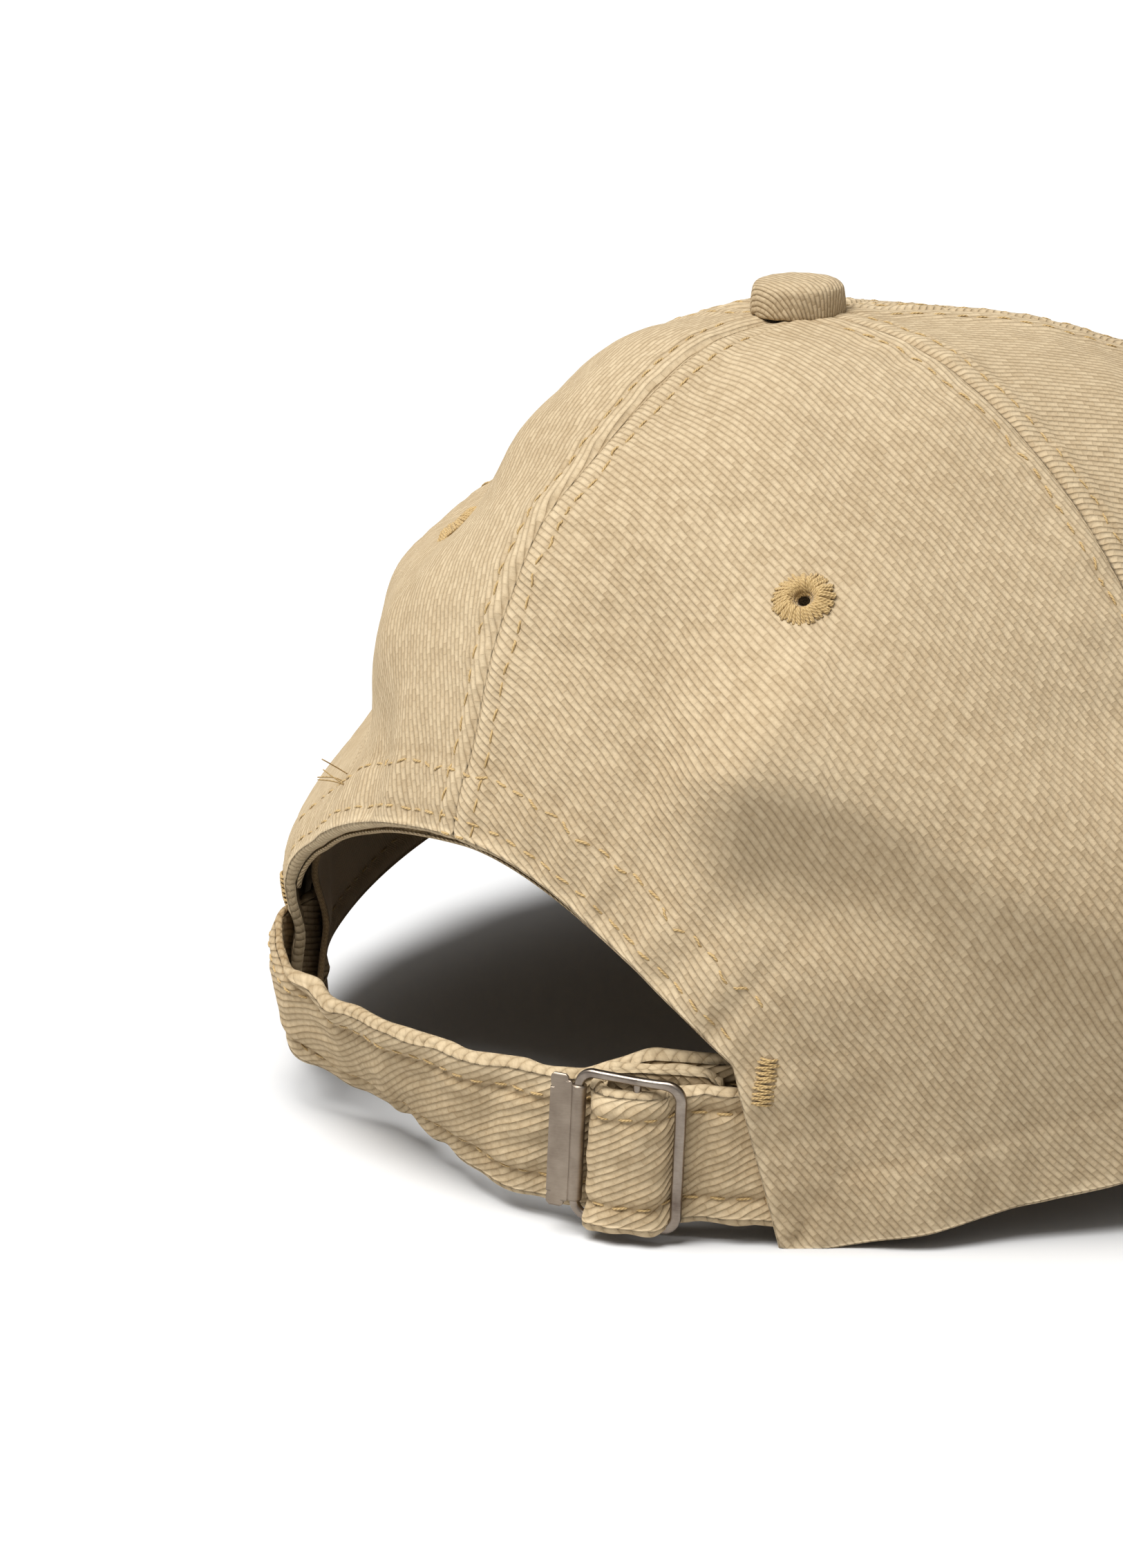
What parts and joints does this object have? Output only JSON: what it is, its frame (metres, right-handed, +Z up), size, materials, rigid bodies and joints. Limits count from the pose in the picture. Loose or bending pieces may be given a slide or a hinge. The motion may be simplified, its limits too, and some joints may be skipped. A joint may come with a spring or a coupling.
{
  "type": "baseball cap",
  "caption": "Soft low-profile cap with a curved visor, sewn panels, top button, stitched vent eyelets and a cloth back strap closed by a small metal clamp buckle.",
  "frame": {"origin": "on the resting surface, under the middle of the crown's hem", "axes": "+Z up, the visor points to -Y, the strap opening faces +Y, +X is the wearer's left"},
  "size_m": [0.1716, 0.2572, 0.0982],
  "materials": {
    "twill": "washed beige cotton twill, matt and slightly fuzzy",
    "strap_twill": "the same twill, folded and stitched flat",
    "seam_tape": "plain woven cotton tape, matt",
    "sweatband_cloth": "brushed cotton, matt",
    "thread": "satin embroidery thread",
    "visor_plastic": "moulded sheet, matt",
    "button_metal": "pressed sheet, dull",
    "buckle_metal": "satin antique nickel"
  },
  "bodies": {
    "cap": {"panel_front_left": "twill", "panel_front_right": "twill", "panel_side_left": "twill", "panel_side_right": "twill", "panel_back_left": "twill", "panel_back_right": "twill", "tape_front": "seam_tape", "tape_left_front": "seam_tape", "tape_right_front": "seam_tape", "tape_left_back": "seam_tape", "tape_right_back": "seam_tape", "tape_back": "seam_tape", "arch_facing": "seam_tape", "sweatband": "sweatband_cloth", "visor_top": "twill", "visor_board": "visor_plastic", "visor_under": "twill", "button_cover": "twill", "button_shell": "button_metal", "button_rivet": "button_metal", "eyelets": "thread", "strap_long": "strap_twill", "strap_short": "strap_twill", "bartacks": "thread"},
    "buckle": {"buckle_frame": "buckle_metal"},
    "lever": {"clamp_lever": "buckle_metal"}
  },
  "joints": [
    {"name": "buckle_rock", "type": "hinge", "parent": "cap", "child": "buckle", "pos_m": [-0.02153, 0.08935, 0.01098], "axis": [-0.0886, 0.0447, 0.9951], "range_deg": [-3, 3]},
    {"name": "lever_flip", "type": "hinge", "parent": "buckle", "child": "lever", "pos_m": [-0.01506, 0.09156, 0.01146], "axis": [-0.0886, 0.0447, 0.9951], "range_deg": [0, 110]}
  ]
}
